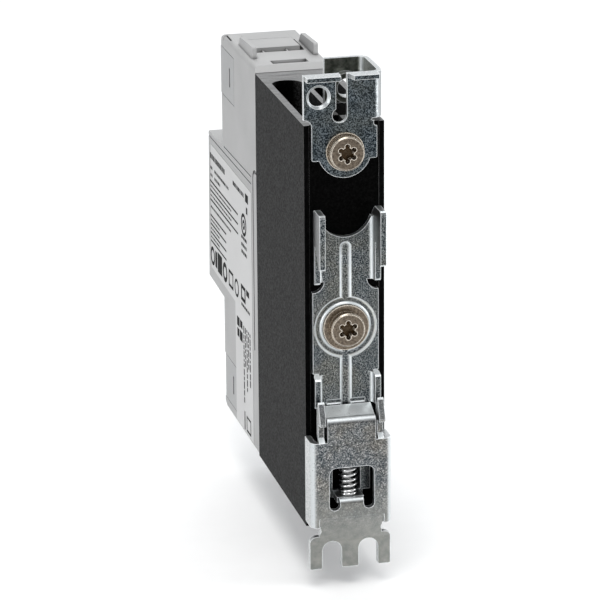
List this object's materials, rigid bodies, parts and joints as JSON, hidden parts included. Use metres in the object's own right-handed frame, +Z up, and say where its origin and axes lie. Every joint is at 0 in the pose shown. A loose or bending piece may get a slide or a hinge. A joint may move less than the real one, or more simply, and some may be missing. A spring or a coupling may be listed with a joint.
{
  "type": "solid state relay",
  "caption": "Slim relay with its own black heat sink, grey terminal housing, earth bracket and a sprung clip for a 35 mm rail.",
  "frame": {"origin": "centre of the 35 mm rail seat, on the plane where the rail's back rests", "axes": "+Z up along the heat sink, +Y out of the rail side, -Y towards the terminals, X across the width with the label on +X"},
  "size_m": [0.018, 0.1047, 0.1096],
  "materials": {
    "sink_anodised": "black anodised extrusion with sawn ends",
    "zinc_sheet": "zinc-plated sheet, bright passivated",
    "slider_zinc": "zinc-plated sheet, bright passivated",
    "screw_steel": "nickel-plated, warm tint",
    "spring_steel": "bright spring wire",
    "housing_grey": "light grey moulded, fine texture",
    "insert_grey": "light grey moulded",
    "label_film": "satin film label with plain rules and bars",
    "marker_white": "blank white plate",
    "light_pipe_clear": "clear moulded",
    "led_yellow": "tinted lens",
    "ceramic_white": "fired ceramic",
    "chip_black": "moulded epoxy",
    "copper": "tinned copper strip",
    "frame_steel": "zinc-plated",
    "terminal_steel": "zinc-plated",
    "terminal_brass": "nickel-free brass",
    "terminal_plastic": "dark grey moulded",
    "board_green": "solder mask",
    "varistor_blue": "dipped epoxy",
    "capacitor_red": "moulded box",
    "resistor_tan": "lacquered"
  },
  "bodies": {
    "relay": {"heat_sink": "sink_anodised", "earth_bracket": "zinc_sheet", "clip_bracket": "zinc_sheet", "bracket_washers": "screw_steel", "bracket_screws": "screw_steel", "slider_spring": "spring_steel", "housing": "housing_grey", "line_insert": "insert_grey", "load_insert": "insert_grey", "side_label": "label_film", "front_marker": "marker_white", "light_pipe": "light_pipe_clear", "status_led": "led_yellow", "ceramic_substrate": "ceramic_white", "thyristor_chips": "chip_black", "line_busbar": "copper", "load_busbar": "copper", "line_frame": "frame_steel", "load_frame": "frame_steel", "control_block": "terminal_plastic", "control_contacts": "copper", "control_board": "board_green", "optocoupler": "chip_black", "driver_chips": "chip_black", "varistor": "varistor_blue", "snubber_capacitor": "capacitor_red", "snubber_resistor": "resistor_tan", "gate_pins": "copper"},
    "slider": {"release_slider": "slider_zinc"},
    "line_screw": {"line_screw": "terminal_steel"},
    "line_wedge": {"line_wedge": "terminal_brass"},
    "line_plate": {"line_plate": "terminal_steel"},
    "load_screw": {"load_screw": "terminal_steel"},
    "load_wedge": {"load_wedge": "terminal_brass"},
    "load_plate": {"load_plate": "terminal_steel"},
    "control_screw_a1": {"control_screw_a1": "terminal_steel"},
    "control_cage_a1": {"control_cage_a1": "terminal_brass"},
    "control_screw_a2": {"control_screw_a2": "terminal_steel"},
    "control_cage_a2": {"control_cage_a2": "terminal_brass"}
  },
  "joints": [
    {"name": "slider_release", "type": "slide", "parent": "relay", "child": "slider", "axis": [0, 0, -1], "range_m": [0, 0.004], "stiffness_N_per_m": 900, "springref_m": -0.004, "deforming": ["slider_spring"]},
    {"name": "line_screw_turn", "type": "hinge", "parent": "relay", "child": "line_screw", "pos_m": [0, -0.0774, 0.0374], "axis": [0, 1, 0], "range_deg": [0, 2881]},
    {"name": "line_wedge_slide", "type": "slide", "parent": "relay", "child": "line_wedge", "axis": [0, -1, 0], "range_m": [0, 0.0056]},
    {"name": "line_plate_slide", "type": "slide", "parent": "relay", "child": "line_plate", "axis": [0, 0, -1], "range_m": [0, 0.00421]},
    {"name": "load_screw_turn", "type": "hinge", "parent": "relay", "child": "load_screw", "pos_m": [0, -0.0774, -0.0384], "axis": [0, 1, 0], "range_deg": [0, 2881]},
    {"name": "load_wedge_slide", "type": "slide", "parent": "relay", "child": "load_wedge", "axis": [0, -1, 0], "range_m": [0, 0.0056]},
    {"name": "load_plate_slide", "type": "slide", "parent": "relay", "child": "load_plate", "axis": [0, 0, 1], "range_m": [0, 0.00421]},
    {"name": "control_screw_a1_turn", "type": "hinge", "parent": "relay", "child": "control_screw_a1", "pos_m": [0.0039, -0.0969, 0.0114], "axis": [0, 1, 0], "range_deg": [0, 1801]},
    {"name": "control_cage_a1_slide", "type": "slide", "parent": "relay", "child": "control_cage_a1", "axis": [0, -1, 0], "range_m": [0, 0.0025]},
    {"name": "control_screw_a2_turn", "type": "hinge", "parent": "relay", "child": "control_screw_a2", "pos_m": [-0.0039, -0.0969, 0.0114], "axis": [0, 1, 0], "range_deg": [0, 1801]},
    {"name": "control_cage_a2_slide", "type": "slide", "parent": "relay", "child": "control_cage_a2", "axis": [0, -1, 0], "range_m": [0, 0.0025]}
  ],
  "couplings": [
    {"joint": "line_screw_turn", "follows": "line_wedge_slide", "rad_per_m": 8976},
    {"joint": "line_plate_slide", "follows": "line_wedge_slide", "ratio": 0.75},
    {"joint": "load_screw_turn", "follows": "load_wedge_slide", "rad_per_m": 8976},
    {"joint": "load_plate_slide", "follows": "load_wedge_slide", "ratio": 0.75},
    {"joint": "control_screw_a1_turn", "follows": "control_cage_a1_slide", "rad_per_m": 12566},
    {"joint": "control_screw_a2_turn", "follows": "control_cage_a2_slide", "rad_per_m": 12566}
  ]
}
